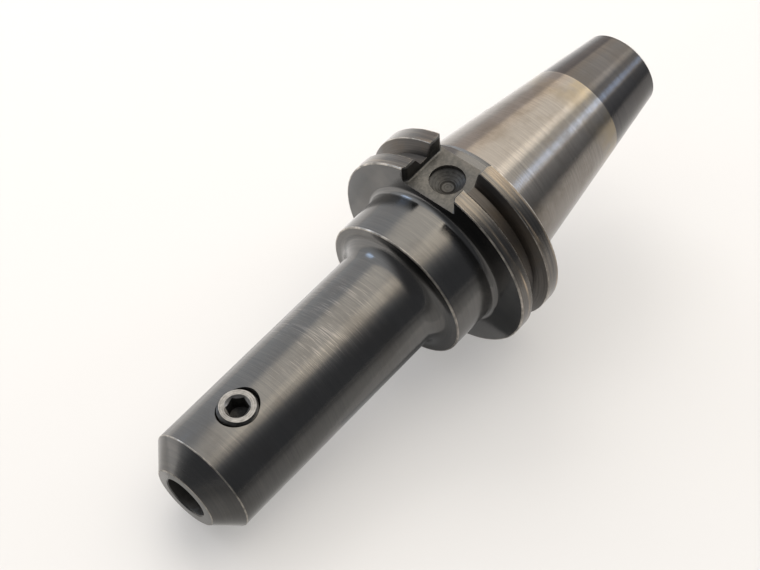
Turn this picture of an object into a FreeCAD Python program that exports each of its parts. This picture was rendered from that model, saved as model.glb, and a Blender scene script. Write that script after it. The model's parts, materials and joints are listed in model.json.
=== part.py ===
"""Side lock end mill holder with a 7/24 steep taper, a V-flange and one clamp screw.

Both pieces share one frame. Its origin is the middle of the gauge circle of the taper. The holder
lies as it comes to rest on a table: it touches at the two corners of its lower drive slot and at
the front edge of its nose, so the nose points along +X and slopes down. Each body is drawn level,
with its axis along X and the clamp screw along Z, and is then tilted about Y by its Placement.
"""
import FreeCAD, Part
import Sketcher
import os

# Driving dimensions in millimetres, angles in degrees.
# Places along the axis count from the gauge plane, towards the nose.
SIZES = {
    # steep taper shank
    "taper_gauge_dia": 44.45,
    "taper_per_length": 0.2916667,
    "taper_length": 68.25,
    "taper_end_chamfer": 1.0,
    "ground_start": 2.1,
    "relief_depth": 0.52,
    "relief_slope": 0.4,
    # plain neck between the taper and the flange
    "neck_step": 1.875,
    "neck_rear": 0.2,
    "neck_edge": 0.4,
    # V-flange
    "flange_dia": 63.5,
    "flange_rear": 3.175,
    "flange_width": 15.875,
    "flange_edge": 0.4,
    "groove_setback": 7.94,
    "groove_mouth": 7.0,
    "groove_root": 2.8,
    "groove_angle": 60.0,
    # drive slots, the upper one with a drilled dimple in its floor
    "slot_width": 16.38,
    "upper_slot_height": 25.0,
    "lower_slot_height": 22.7,
    "slot_corner": 0.8,
    "slot_edge": 0.45,
    "dimple_dia": 10.16,
    "dimple_wall": 1.15,
    "dimple_point_angle": 118.0,
    "dimple_flat_dia": 3.3,
    "dimple_flat_ring": 0.55,
    "dimple_flat_drop": 0.22,
    # collar and nose
    "collar_dia": 44.45,
    "collar_length": 15.875,
    "collar_edge": 0.6,
    "collar_fillet": 1.8,
    "nose_dia": 31.75,
    "nose_front": 117.475,
    "nose_fillet": 5.0,
    "nose_chamfer": 6.35,
    "fillet_wall": 0.2,
    # holes along the axis
    "bore_dia": 12.7,
    "bore_depth": 50.8,
    "bore_edge": 0.3,
    "coolant_dia": 8.0,
    "stud_thread_dia": 15.875,
    "stud_thread_depth": 30.0,
    "stud_pilot_clearance": 0.525,
    "stud_pilot_depth": 4.8,
    "drill_point_angle": 118.0,
    # clamp screw and its threaded hole
    "screw_setback": 22.6,
    "screw_dia": 11.1125,
    "thread_clearance": 0.05,
    "screw_hole_chamfer": 0.54,
    "screw_length": 9.525,
    "screw_proud": 0.2,
    "screw_head_chamfer": 0.58,
    "screw_tip_chamfer": 1.0,
    "socket_flats": 5.56,
    "socket_depth": 5.0,
    "socket_bevel": 0.77,
    "socket_turn": 12.0,
}

# Places and radii worked out from the driving dimensions, as expressions for the sheet's names.
FLANGE_FRONT = "(Sizes.flange_rear + Sizes.flange_width)"
COLLAR_FRONT = f"({FLANGE_FRONT} + Sizes.collar_length)"
NOSE_EDGE = "(Sizes.nose_front - Sizes.nose_chamfer)"
TAPER_END_RADIUS = "(Sizes.taper_gauge_dia - Sizes.taper_length * Sizes.taper_per_length) / 2"
GROUND_RADIUS = "(Sizes.taper_gauge_dia - Sizes.ground_start * Sizes.taper_per_length) / 2"
RELIEF_RADIUS = f"({GROUND_RADIUS} - Sizes.relief_depth)"
NECK_RADIUS = "(Sizes.taper_gauge_dia / 2 + Sizes.neck_step)"
GROOVE_CENTRE = "(Sizes.flange_rear + Sizes.groove_setback)"
GROOVE_DEPTH = "((Sizes.groove_mouth - Sizes.groove_root) / 2 / tan(Sizes.groove_angle * 1 deg / 2))"
SCREW_PLACE = "(Sizes.nose_front - Sizes.screw_setback)"
SCREW_TOP = "(Sizes.nose_dia / 2 + Sizes.screw_proud)"
HOLE_RADIUS = "(Sizes.screw_dia / 2 + Sizes.thread_clearance)"

# The holder rests on the corners of the lower slot at the flange's front land and on the nose edge.
SLOT_REST_WIDTH = "(Sizes.slot_width / 2 + Sizes.slot_edge)"
SLOT_REST_HEIGHT = f"sqrt((Sizes.flange_dia / 2)^2 - {SLOT_REST_WIDTH}^2)"
SLOT_REST_PLACE = f"({FLANGE_FRONT} - Sizes.flange_edge)"
REST_TILT = f"atan(({SLOT_REST_HEIGHT} - Sizes.nose_dia / 2) / ({NOSE_EDGE} - {SLOT_REST_PLACE}))"

doc = FreeCAD.newDocument("side_lock_end_mill_holder")
sheet = doc.addObject("Spreadsheet::Sheet", "Sizes")
for row, (alias, size) in enumerate(SIZES.items(), start=1):
    sheet.set(f"A{row}", alias)
    sheet.set(f"B{row}", str(size))
    sheet.setAlias(f"B{row}", alias)
doc.recompute()


def value(expression):
    """The number that an expression of the sheet's names gives, in mm or degrees."""
    result = sheet.evalExpression(expression)
    return float(getattr(result, "Value", result))


def new_body(name):
    """A body that is drawn level and tilted into the holder's rest."""
    body = doc.addObject("PartDesign::Body", name)
    body.Label = name
    body.Placement = FreeCAD.Placement(
        FreeCAD.Vector(0, 0, 0), FreeCAD.Rotation(FreeCAD.Vector(0, 1, 0), value(REST_TILT))
    )
    body.setExpression(".Placement.Rotation.Angle", REST_TILT)
    return body


def new_sketch(body, role, name, along=None, up=None):
    """A sketch on an origin plane of the body, moved by expressions along X and up Z."""
    plane = next(item for item in body.Origin.OriginFeatures if item.Role == role)
    sketch = body.newObject("Sketcher::SketchObject", name)
    sketch.AttachmentSupport = [(plane, "")]
    sketch.MapMode = "FlatFace"
    if along:
        sketch.setExpression(".AttachmentOffset.Base.x", along)
    if up:
        sketch.setExpression(".AttachmentOffset.Base.z", up)
    doc.recompute()
    return sketch


def hold(sketch, edge, direction, expression, name):
    """Hold the start of an edge at an expression's distance from the sketch's origin."""
    size = value(expression)
    if abs(size) < 1e-9:
        axis = -2 if direction == "X" else -1
        sketch.addConstraint(Sketcher.Constraint("PointOnObject", edge, 1, axis))
        return
    kind = f"Distance{direction}"
    if size > 0:
        index = sketch.addConstraint(Sketcher.Constraint(kind, -1, 1, edge, 1, size))
    else:
        index = sketch.addConstraint(Sketcher.Constraint(kind, edge, 1, -1, 1, -size))
        expression = f"-({expression})"
    sketch.renameConstraint(index, name)
    sketch.setExpression(f"Constraints.{name}", expression)


def outline(sketch, corners, rounds=None):
    """Draw a closed outline, anticlockwise. Each corner is a pair of expressions.

    A side whose number is in rounds is a quarter circle of that expression's radius.
    """
    rounds = rounds or {}
    points = [FreeCAD.Vector(value(across), value(up), 0) for across, up in corners]
    sides = []
    for side, start in enumerate(points):
        end = points[(side + 1) % len(points)]
        chord = end - start
        if side in rounds:
            centre = (start + end + FreeCAD.Vector(-chord.y, chord.x, 0)) / 2
            circle = Part.Circle(centre, FreeCAD.Vector(0, 0, 1), value(rounds[side]))
            sides.append(Part.ArcOfCircle(circle, circle.parameter(start), circle.parameter(end)))
        else:
            sides.append(Part.LineSegment(start, end))
    sketch.addGeometry(sides, False)
    for side in range(len(corners)):
        after = (side + 1) % len(corners)
        sketch.addConstraint(Sketcher.Constraint("Coincident", side, 2, after, 1))
    for side, (across, up) in enumerate(corners):
        hold(sketch, side, "X", across, f"across_{side}")
        hold(sketch, side, "Y", up, f"up_{side}")
    for side, radius in rounds.items():
        index = sketch.addConstraint(Sketcher.Constraint("Radius", side, value(radius)))
        sketch.renameConstraint(index, f"round_{side}")
        sketch.setExpression(f"Constraints.round_{side}", radius)
    doc.recompute()


def turned(body, kind, name, corners, axis="H_Axis", along=None):
    """Turn an outline on the XZ plane round one of its sketch's axes, to add or to cut."""
    sketch = new_sketch(body, "XZ_Plane", f"{name}_outline", along=along)
    outline(sketch, corners)
    feature = body.newObject(f"PartDesign::{kind}", name)
    feature.Profile = sketch
    feature.ReferenceAxis = (sketch, [axis])
    feature.Angle = 360.0
    doc.recompute()
    return feature


def slot_cut(body, name, corners, rounds):
    """Cut an outline on the YZ plane right through the body, both ways."""
    sketch = new_sketch(body, "YZ_Plane", f"{name}_outline")
    outline(sketch, corners, rounds)
    feature = body.newObject("PartDesign::Pocket", name)
    feature.Profile = sketch
    feature.Type = "ThroughAll"
    feature.Midplane = True
    doc.recompute()
    return feature


def circles_at(shape, places):
    """Names of the circular edges round the body's axis at given places and radii."""
    found = []
    for index, edge in enumerate(shape.Edges, start=1):
        if not hasattr(edge.Curve, "Radius"):
            continue
        for place, radius in places:
            centre = edge.Curve.Center
            level = abs(centre.x - place) < 1e-4 and abs(centre.y) < 1e-4 and abs(centre.z) < 1e-4
            if level and abs(edge.Curve.Radius - radius) < 1e-4:
                found.append(f"Edge{index}")
    return found


def dressed(body, kind, name, edges, expression):
    """Round or bevel edges of the body's newest feature by a size of the sheet."""
    base = body.Tip
    feature = body.newObject(f"PartDesign::{kind}", name)
    feature.Base = (base, edges)
    size = "Radius" if kind == "Fillet" else "Size"
    setattr(feature, size, value(expression))
    feature.setExpression(size, expression)
    body.Tip = feature
    doc.recompute()
    return feature


# The holder's body is turned from one bar, so its outer form is one outline.
holder = new_body("holder_body")
turned(holder, "Revolution", "turned_form", [
    ("-Sizes.taper_length", "0"),
    ("-Sizes.taper_length", TAPER_END_RADIUS),
    ("-Sizes.ground_start", GROUND_RADIUS),
    ("-Sizes.ground_start + Sizes.relief_slope", RELIEF_RADIUS),
    ("Sizes.neck_rear", RELIEF_RADIUS),
    ("Sizes.neck_rear", NECK_RADIUS),
    ("Sizes.flange_rear", NECK_RADIUS),
    ("Sizes.flange_rear", "Sizes.flange_dia / 2"),
    (FLANGE_FRONT, "Sizes.flange_dia / 2"),
    (FLANGE_FRONT, "Sizes.collar_dia / 2"),
    (COLLAR_FRONT, "Sizes.collar_dia / 2"),
    (COLLAR_FRONT, "Sizes.nose_dia / 2"),
    (NOSE_EDGE, "Sizes.nose_dia / 2"),
    ("Sizes.nose_front", "Sizes.nose_dia / 2 - Sizes.nose_chamfer"),
    ("Sizes.nose_front", "0"),
])

# Each root fillet keeps its size while its wall has room for it.
NOSE_WALL = "(Sizes.collar_dia - Sizes.nose_dia) / 2 - Sizes.collar_edge - Sizes.fillet_wall"
COLLAR_WALL = "(Sizes.flange_dia - Sizes.collar_dia) / 2 - Sizes.flange_edge - Sizes.fillet_wall"
dressed(holder, "Fillet", "nose_root", circles_at(holder.Tip.Shape, [
    (value(COLLAR_FRONT), value("Sizes.nose_dia / 2")),
]), f"min(Sizes.nose_fillet; {NOSE_WALL})")
dressed(holder, "Fillet", "collar_root", circles_at(holder.Tip.Shape, [
    (value(FLANGE_FRONT), value("Sizes.collar_dia / 2")),
]), f"min(Sizes.collar_fillet; {COLLAR_WALL})")
dressed(holder, "Chamfer", "collar_front_edge", circles_at(holder.Tip.Shape, [
    (value(COLLAR_FRONT), value("Sizes.collar_dia / 2")),
]), "Sizes.collar_edge")
dressed(holder, "Chamfer", "flange_edges", circles_at(holder.Tip.Shape, [
    (value("Sizes.flange_rear"), value("Sizes.flange_dia / 2")),
    (value(FLANGE_FRONT), value("Sizes.flange_dia / 2")),
]), "Sizes.flange_edge")
dressed(holder, "Chamfer", "neck_rear_edge", circles_at(holder.Tip.Shape, [
    (value("Sizes.neck_rear"), value(NECK_RADIUS)),
]), "Sizes.neck_edge")
dressed(holder, "Chamfer", "taper_small_end", circles_at(holder.Tip.Shape, [
    (value("-Sizes.taper_length"), value(TAPER_END_RADIUS)),
]), "Sizes.taper_end_chamfer")

# The gripper groove is a V with a flat root.
turned(holder, "Groove", "gripper_groove", [
    (f"{GROOVE_CENTRE} - Sizes.groove_mouth / 2", "Sizes.flange_dia / 2"),
    (f"{GROOVE_CENTRE} - Sizes.groove_root / 2", f"Sizes.flange_dia / 2 - {GROOVE_DEPTH}"),
    (f"{GROOVE_CENTRE} + Sizes.groove_root / 2", f"Sizes.flange_dia / 2 - {GROOVE_DEPTH}"),
    (f"{GROOVE_CENTRE} + Sizes.groove_mouth / 2", "Sizes.flange_dia / 2"),
    (f"{GROOVE_CENTRE} + Sizes.groove_mouth / 2", "Sizes.flange_dia / 2 + Sizes.flange_edge"),
    (f"{GROOVE_CENTRE} - Sizes.groove_mouth / 2", "Sizes.flange_dia / 2 + Sizes.flange_edge"),
])

# One hole runs through the axis: tool bore, coolant hole, then the pull stud's threaded hole.
BORE_END = "(Sizes.nose_front - Sizes.bore_depth)"
STUD_THREAD_END = "(Sizes.stud_thread_depth - Sizes.taper_length)"
POINT_SLOPE = "tan(Sizes.drill_point_angle * 1 deg / 2)"
STUD_PILOT_RADIUS = "(Sizes.stud_thread_dia + Sizes.stud_pilot_clearance) / 2"
BORE_POINT = f"{BORE_END} - (Sizes.bore_dia - Sizes.coolant_dia) / 2 / {POINT_SLOPE}"
STUD_POINT = f"{STUD_THREAD_END} + (Sizes.stud_thread_dia - Sizes.coolant_dia) / 2 / {POINT_SLOPE}"
turned(holder, "Groove", "axial_hole", [
    ("Sizes.nose_front", "0"),
    ("Sizes.nose_front", "Sizes.bore_dia / 2 + Sizes.bore_edge"),
    ("Sizes.nose_front - Sizes.bore_edge", "Sizes.bore_dia / 2"),
    (BORE_END, "Sizes.bore_dia / 2"),
    (BORE_POINT, "Sizes.coolant_dia / 2"),
    (STUD_POINT, "Sizes.coolant_dia / 2"),
    (STUD_THREAD_END, "Sizes.stud_thread_dia / 2"),
    ("Sizes.stud_pilot_depth - Sizes.taper_length", "Sizes.stud_thread_dia / 2"),
    ("Sizes.stud_pilot_depth - Sizes.taper_length", STUD_PILOT_RADIUS),
    ("-Sizes.taper_length", STUD_PILOT_RADIUS),
    ("-Sizes.taper_length", "0"),
])

# Two drive slots lie opposite each other. The lower one is deeper. Their walls flare at the rim.
SLOT_HALF = "Sizes.slot_width / 2"
SLOT_FLAT = "(Sizes.slot_width / 2 - Sizes.slot_corner)"
SLOT_TOP = "(Sizes.flange_dia / 2 + Sizes.slot_edge)"
SLOT_RIM = f"({SLOT_REST_HEIGHT} - Sizes.slot_edge)"
SLOT_TOP_WIDTH = f"({SLOT_HALF} + {SLOT_TOP} - {SLOT_RIM})"
slot_cut(holder, "upper_drive_slot", [
    (f"-{SLOT_FLAT}", "Sizes.upper_slot_height"),
    (SLOT_FLAT, "Sizes.upper_slot_height"),
    (SLOT_HALF, "Sizes.upper_slot_height + Sizes.slot_corner"),
    (SLOT_HALF, SLOT_RIM),
    (SLOT_TOP_WIDTH, SLOT_TOP),
    (f"-{SLOT_TOP_WIDTH}", SLOT_TOP),
    (f"-{SLOT_HALF}", SLOT_RIM),
    (f"-{SLOT_HALF}", "Sizes.upper_slot_height + Sizes.slot_corner"),
], {1: "Sizes.slot_corner", 7: "Sizes.slot_corner"})
slot_cut(holder, "lower_drive_slot", [
    (SLOT_FLAT, "-Sizes.lower_slot_height"),
    (f"-{SLOT_FLAT}", "-Sizes.lower_slot_height"),
    (f"-{SLOT_HALF}", "-Sizes.lower_slot_height - Sizes.slot_corner"),
    (f"-{SLOT_HALF}", f"-{SLOT_RIM}"),
    (f"-{SLOT_TOP_WIDTH}", f"-{SLOT_TOP}"),
    (SLOT_TOP_WIDTH, f"-{SLOT_TOP}"),
    (SLOT_HALF, f"-{SLOT_RIM}"),
    (SLOT_HALF, "-Sizes.lower_slot_height - Sizes.slot_corner"),
], {1: "Sizes.slot_corner", 7: "Sizes.slot_corner"})

# The dimple is drilled into the upper slot's floor, over the groove, and has a small flat in its point.
DIMPLE_SLOPE = "tan(Sizes.dimple_point_angle * 1 deg / 2)"
DIMPLE_STEP_RADIUS = "(Sizes.dimple_flat_dia / 2 + Sizes.dimple_flat_ring)"
DIMPLE_STEP = f"Sizes.dimple_wall + (Sizes.dimple_dia / 2 - {DIMPLE_STEP_RADIUS}) / {DIMPLE_SLOPE}"
DIMPLE_DEPTH = f"({DIMPLE_STEP} + Sizes.dimple_flat_drop)"
turned(holder, "Groove", "dimple", [
    ("0", "Sizes.upper_slot_height + Sizes.slot_corner"),
    ("0", f"Sizes.upper_slot_height - {DIMPLE_DEPTH}"),
    ("Sizes.dimple_flat_dia / 2", f"Sizes.upper_slot_height - {DIMPLE_DEPTH}"),
    (DIMPLE_STEP_RADIUS, f"Sizes.upper_slot_height - ({DIMPLE_STEP})"),
    ("Sizes.dimple_dia / 2", "Sizes.upper_slot_height - Sizes.dimple_wall"),
    ("Sizes.dimple_dia / 2", "Sizes.upper_slot_height + Sizes.slot_corner"),
], axis="V_Axis", along=GROOVE_CENTRE)

# The clamp screw's hole runs from the bore to the top of the nose. Its thread is drawn plain.
MOUTH_RADIUS = f"({HOLE_RADIUS} + Sizes.screw_hole_chamfer)"
MOUTH_BOTTOM = "(Sizes.nose_dia / 2 - Sizes.screw_hole_chamfer)"
turned(holder, "Groove", "screw_hole", [
    ("0", "0"),
    (HOLE_RADIUS, "0"),
    (HOLE_RADIUS, MOUTH_BOTTOM),
    (f"{MOUTH_RADIUS} + Sizes.screw_proud", "Sizes.nose_dia / 2 + Sizes.screw_proud"),
    ("0", "Sizes.nose_dia / 2 + Sizes.screw_proud"),
], axis="V_Axis", along=SCREW_PLACE)

# The clamp screw stands about flush with the nose. Its flat tip stays just clear of the bore.
screw = new_body("clamp_screw")
SCREW_TIP = f"({SCREW_TOP} - Sizes.screw_length)"
turned(screw, "Revolution", "screw_shank", [
    ("0", SCREW_TIP),
    ("Sizes.screw_dia / 2 - Sizes.screw_tip_chamfer", SCREW_TIP),
    ("Sizes.screw_dia / 2", f"{SCREW_TIP} + Sizes.screw_tip_chamfer"),
    ("Sizes.screw_dia / 2", f"{SCREW_TOP} - Sizes.screw_head_chamfer"),
    ("Sizes.screw_dia / 2 - Sizes.screw_head_chamfer", SCREW_TOP),
    ("0", SCREW_TOP),
], axis="V_Axis", along=SCREW_PLACE)

# The hexagon is drawn about the screw's axis with one corner turned from +X.
socket = new_sketch(screw, "XY_Plane", "socket_outline", along=SCREW_PLACE, up=SCREW_TOP)
socket.setExpression(".AttachmentOffset.Rotation.Angle", "Sizes.socket_turn")
SOCKET_REACH = "Sizes.socket_flats / 2 / cos(30 deg)"
HEXAGON = [
    (f"{SOCKET_REACH} * cos({60 * turn} deg)", f"{SOCKET_REACH} * sin({60 * turn} deg)") for turn in range(6)
]
outline(socket, HEXAGON)
key_socket = screw.newObject("PartDesign::Pocket", "key_socket")
key_socket.Profile = socket
key_socket.setExpression("Length", "Sizes.socket_depth")
doc.recompute()

turned(screw, "Groove", "socket_point_and_mouth", [
    ("0", SCREW_TOP),
    ("0", f"{SCREW_TOP} - Sizes.socket_depth - Sizes.socket_flats / 2 / {POINT_SLOPE}"),
    ("Sizes.socket_flats / 2", f"{SCREW_TOP} - Sizes.socket_depth"),
    ("Sizes.socket_flats / 2", f"{SCREW_TOP} - Sizes.socket_bevel"),
    ("Sizes.socket_flats / 2 + Sizes.socket_bevel", SCREW_TOP),
], axis="V_Axis", along=SCREW_PLACE)

doc.recompute()
for item in doc.Objects:
    if "Invalid" in item.State or "Error" in item.State:
        raise RuntimeError(f"{item.Name} failed: {item.State}")
bodies = [item for item in doc.Objects if item.TypeId == "PartDesign::Body"]
for body in bodies:
    if body.Shape.isNull() or not body.Shape.isValid() or len(body.Shape.Solids) != 1:
        raise RuntimeError(f"{body.Label} is not one valid solid")

os.makedirs("parts", exist_ok=True)
for body in bodies:
    body.Shape.exportStep(f"parts/{body.Label}.step")
    middle = body.Shape.Solids[0].CenterOfMass
    print(f"{body.Label}: {body.Shape.Volume:.1f} mm3, centre {middle.x:.2f} {middle.y:.2f} {middle.z:.2f}")
print(f"rest tilt {value(REST_TILT):.4f} degrees")
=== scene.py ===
"""The finished look of a side lock end mill holder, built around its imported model.

Every piece is drawn level, with the holder's axis along X, its screw and dimpled slot facing up along Z and
the middle of the taper's gauge circle at the origin. It is then tilted into the rest that the record gives.
Sizes are in metres.
"""

import json
import logging
import math
from collections.abc import Sequence
from dataclasses import dataclass
from enum import Enum

import bmesh
import bpy
from bmesh.types import BMesh
from bmesh.types import BMVert
from bpy.types import Material
from bpy.types import Node
from bpy.types import NodeSocket
from bpy.types import NodeTree
from bpy.types import Object
from mathutils import Euler
from mathutils import Matrix
from mathutils import Vector


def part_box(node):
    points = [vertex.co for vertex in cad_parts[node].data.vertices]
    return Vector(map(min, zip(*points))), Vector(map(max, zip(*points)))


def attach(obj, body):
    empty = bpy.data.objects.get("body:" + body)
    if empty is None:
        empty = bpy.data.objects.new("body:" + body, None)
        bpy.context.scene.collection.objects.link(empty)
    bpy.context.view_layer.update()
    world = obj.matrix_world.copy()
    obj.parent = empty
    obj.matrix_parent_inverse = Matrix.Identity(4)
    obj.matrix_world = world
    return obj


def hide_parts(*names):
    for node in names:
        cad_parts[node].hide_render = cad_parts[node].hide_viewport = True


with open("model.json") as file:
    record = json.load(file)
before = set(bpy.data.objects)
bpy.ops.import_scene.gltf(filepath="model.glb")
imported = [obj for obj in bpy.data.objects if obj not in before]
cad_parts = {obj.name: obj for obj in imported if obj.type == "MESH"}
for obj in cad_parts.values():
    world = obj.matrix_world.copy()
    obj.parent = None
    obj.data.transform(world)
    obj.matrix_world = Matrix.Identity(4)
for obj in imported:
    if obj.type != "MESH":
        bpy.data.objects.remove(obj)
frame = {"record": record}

log = logging.getLogger("end_mill_holder")

Colour = tuple[float, float, float]
Triple = tuple[float, float, float]
Point = tuple[float, float]
Sources = dict[int | str, object]

MM = 0.001

# How close points are merged, and how far a cutter stands out of what it cuts
WELD = 1e-7
CUT_WELD = 2e-6
OVERCUT = 1.0 * MM

# Sides of a full turn, and of a rounded corner
HOLDER_SEGMENTS = 240
SCREW_SEGMENTS = 96
THREAD_SEGMENTS = 48
ROUND_SEGMENTS = 12
BREAK_SEGMENTS = 3
EASE_STEPS = 4

# The angles, in degrees, past which an edge is shaded sharp and a slot's edge is broken
SHARP_ANGLE = 28.0
RIM_ANGLE = 30.0

# The slopes of a 60 degree thread or groove and of a 118 degree drill point
FLANK_SLOPE = math.tan(math.radians(30.0))
POINT_SLOPE = math.tan(math.radians(59.0))

# Places along the holder's axis
GROOVE_CENTRE = 11.115 * MM
NOSE_FRONT = 117.475 * MM
SCREW_PLACE = NOSE_FRONT - 22.6 * MM

# Tool marks with no direction, the marks' depth, and the turn of the blur across them
EVEN_MARKS = (900.0, 900.0, 900.0)
MARK_DEPTH = 0.02 * MM
QUARTER_TURN = 0.25

# The operations of a Vector Math node that give a number
MEASURES = ("DISTANCE", "DOT_PRODUCT", "LENGTH")


class Region(Enum):
    """The differently finished surfaces of the holder's body. The value is the material's index."""

    OXIDE = 0
    GROUND = 1
    REAR = 2
    LAND = 3
    GROOVE = 4
    MILLED = 5
    BORE = 6
    EDGE = 7
    DIMPLE = 8
    DIMPLE_RING = 9
    NECK = 10
    SCREW_HOLE = 11


class ScrewRegion(Enum):
    """The differently finished surfaces of the clamp screw. The value is the material's index."""

    THREAD = 0
    FACE = 1
    SOCKET = 2
    SOCKET_FLOOR = 3


class Axis(Enum):
    """The axes that outlines are turned round."""

    HOLDER = (1.0, 0.0, 0.0)
    SCREW = (0.0, 0.0, 1.0)

    def place(self, along: float, out: float, centre: float = 0.0) -> Triple:
        """The place of an outline's corner, for an axis that stands at a centre along X."""
        return (along, 0.0, out) if self is Axis.HOLDER else (centre + out, 0.0, along)


def eased(start: Point, corner: Point, end: Point) -> tuple[Point, ...]:
    """The points of a small round from start to end, which the corner between them pulls."""
    shares = [step / EASE_STEPS for step in range(EASE_STEPS + 1)]
    weights = [((1 - share) ** 2, 2 * share * (1 - share), share**2) for share in shares]
    pulls = (start, corner, end)
    return tuple(
        tuple(sum(weight * point[axis] for weight, point in zip(row, pulls)) for axis in (0, 1))
        for row in weights
    )


@dataclass(frozen=True)
class Stretch:
    """A run of a turned outline that has one finish, and starts where the run before it ends.

    Attributes:
        region: The finish's material index, as an Enum member.
        points: The run's further corners as (along, out) pairs.
        fillet: The rounding radius of the first of those corners.
        soft: Whether the run is a small round to its second point, which the first one pulls.
    """

    region: Enum
    points: tuple[Point, ...]
    fillet: float = 0.0
    soft: bool = False

    def outline(self, start: Point) -> tuple[Point, ...]:
        """All the run's points, from the end of the run before it."""
        return eased(start, *self.points) if self.soft else (start, *self.points)


def straight(region: Enum, *points: Point, fillet: float = 0.0) -> Stretch:
    """A run of straight lines."""
    return Stretch(region, points, fillet=fillet)


def soft_edge(region: Enum, corner: Point, end: Point) -> Stretch:
    """A run round a small eased edge."""
    return Stretch(region, (corner, end), soft=True)


def turned(start: Point, stretches: Sequence[Stretch], axis: Axis, centre: float, segments: int) -> BMesh:
    """Turns an outline, stretch by stretch, into one closed skin.

    Args:
        start: The outline's first corner, as an (along, out) pair.
        stretches: The outline's runs, end to end.
        axis: The axis to turn round.
        centre: Where that axis stands along X, for an axis that points up.
        segments: How many sides the full turn has.

    Returns:
        A mesh whose faces carry their stretch's material index.
    """
    mesh = bmesh.new()
    for stretch in stretches:
        points = stretch.outline(start)
        start = points[-1]
        run = bmesh.new()
        corners = [run.verts.new(axis.place(*point, centre)) for point in points]
        for pair in zip(corners, corners[1:]):
            run.edges.new(pair)
        if stretch.fillet > 0.0:
            bmesh.ops.bevel(
                run,
                geom=[corners[1]],
                offset=stretch.fillet,
                offset_type="OFFSET",
                segments=ROUND_SEGMENTS,
                profile=0.5,
                affect="VERTICES",
                material=-1,
            )
        bmesh.ops.spin(
            run,
            geom=run.verts[:] + run.edges[:],
            cent=(centre, 0.0, 0.0),
            axis=axis.value,
            angle=math.tau,
            steps=segments,
            use_merge=True,
        )
        for face in run.faces:
            face.material_index = stretch.region.value
        add_to(mesh, run)
    bmesh.ops.remove_doubles(mesh, verts=mesh.verts, dist=WELD)
    bmesh.ops.recalc_face_normals(mesh, faces=mesh.faces)
    return mesh


def add_to(mesh: BMesh, other: BMesh) -> None:
    """Adds a second mesh to the first and frees the second."""
    data = bpy.data.meshes.new("part_of_mesh")
    other.to_mesh(data)
    other.free()
    mesh.from_mesh(data)
    bpy.data.meshes.remove(data)


def loft(outline: Sequence[Point], stations: Sequence[Point], index: int) -> BMesh:
    """Joins copies of an outline that lies across the holder's axis.

    Args:
        outline: The outline's corners as (across, up) pairs.
        stations: Each copy's place along X, and how far it is widened at each side.
        index: The material index of its faces.

    Returns:
        The closed solid.
    """
    mesh = bmesh.new()
    rings = []
    for place, spread in stations:
        ring = [mesh.verts.new((place, across + math.copysign(spread, across), up)) for across, up in outline]
        rings.append(ring)
    for ring, after in zip(rings, rings[1:]):
        for number in range(len(ring)):
            follower = (number + 1) % len(ring)
            mesh.faces.new((ring[number], ring[follower], after[follower], after[number]))
    mesh.faces.new(rings[0])
    mesh.faces.new(rings[-1])
    for side in mesh.faces:
        side.material_index = index
    bmesh.ops.recalc_face_normals(mesh, faces=mesh.faces)
    return mesh


def helix(tooth: Sequence[Point], axis: Axis, pitch: float, turns: int, closed: bool) -> BMesh:
    """Sweeps a thread's tooth along a right-hand helix.

    Args:
        tooth: The tooth's outline as (along, out) pairs from the start of the thread.
        axis: The thread's axis.
        pitch: How far one turn goes along the axis.
        turns: The number of turns.
        closed: Whether the tooth is a closed ridge. An open one joins itself a turn further on.

    Returns:
        The thread's skin.
    """
    mesh = bmesh.new()
    corners = [mesh.verts.new(axis.place(*point)) for point in tooth]
    followers = [*corners[1:], corners[0]] if closed else corners[1:]
    for pair in zip(corners, followers):
        mesh.edges.new(pair)
    if closed:
        bmesh.ops.contextual_create(mesh, geom=mesh.edges[:])
    bmesh.ops.spin(
        mesh,
        geom=mesh.verts[:] + mesh.edges[:] + mesh.faces[:],
        cent=(0.0, 0.0, 0.0),
        axis=axis.value,
        dvec=Vector(axis.value) * (pitch / THREAD_SEGMENTS),
        angle=math.tau * turns,
        steps=THREAD_SEGMENTS * turns,
        use_merge=False,
    )
    bmesh.ops.remove_doubles(mesh, verts=mesh.verts, dist=WELD)
    return mesh


def trimmed(mesh: BMesh, axis: Axis, low: float, high: float) -> None:
    """Cuts a mesh square to an axis at two places and closes the ends."""
    ahead = Vector(axis.value)
    for place, way in ((low, -ahead), (high, ahead)):
        bmesh.ops.bisect_plane(
            mesh,
            geom=mesh.verts[:] + mesh.edges[:] + mesh.faces[:],
            dist=WELD,
            plane_co=ahead * place,
            plane_no=way,
            clear_outer=True,
        )
        rim = [edge for edge in mesh.edges if edge.is_boundary]
        bmesh.ops.holes_fill(mesh, edges=rim, sides=0)
    bmesh.ops.recalc_face_normals(mesh, faces=mesh.faces)


def piece(name: str, mesh: BMesh, materials: Sequence[Material] = ()) -> Object:
    """Makes an object of a mesh and frees the mesh."""
    data = bpy.data.meshes.new(name)
    mesh.to_mesh(data)
    mesh.free()
    for material in materials:
        data.materials.append(material)
    obj = bpy.data.objects.new(name, data)
    bpy.context.scene.collection.objects.link(obj)
    return obj


def combine(body: Object, tools: Sequence[Object], operation: str) -> None:
    """Cuts tools out of a body, or keeps what they share with it, and removes the tools.

    Args:
        body: The object to change.
        tools: Closed objects whose faces keep their own material index.
        operation: The Boolean modifier's operation.
    """
    for tool in tools:
        modifier = body.modifiers.new(tool.name, "BOOLEAN")
        modifier.object = tool
        modifier.operation = operation
        modifier.solver = "EXACT"
    evaluated = body.evaluated_get(bpy.context.evaluated_depsgraph_get())
    made = bpy.data.meshes.new_from_object(evaluated)
    old = body.data
    body.modifiers.clear()
    body.data = made
    bpy.data.meshes.remove(old)
    made.name = body.name
    for tool in tools:
        bpy.data.meshes.remove(tool.data)


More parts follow.
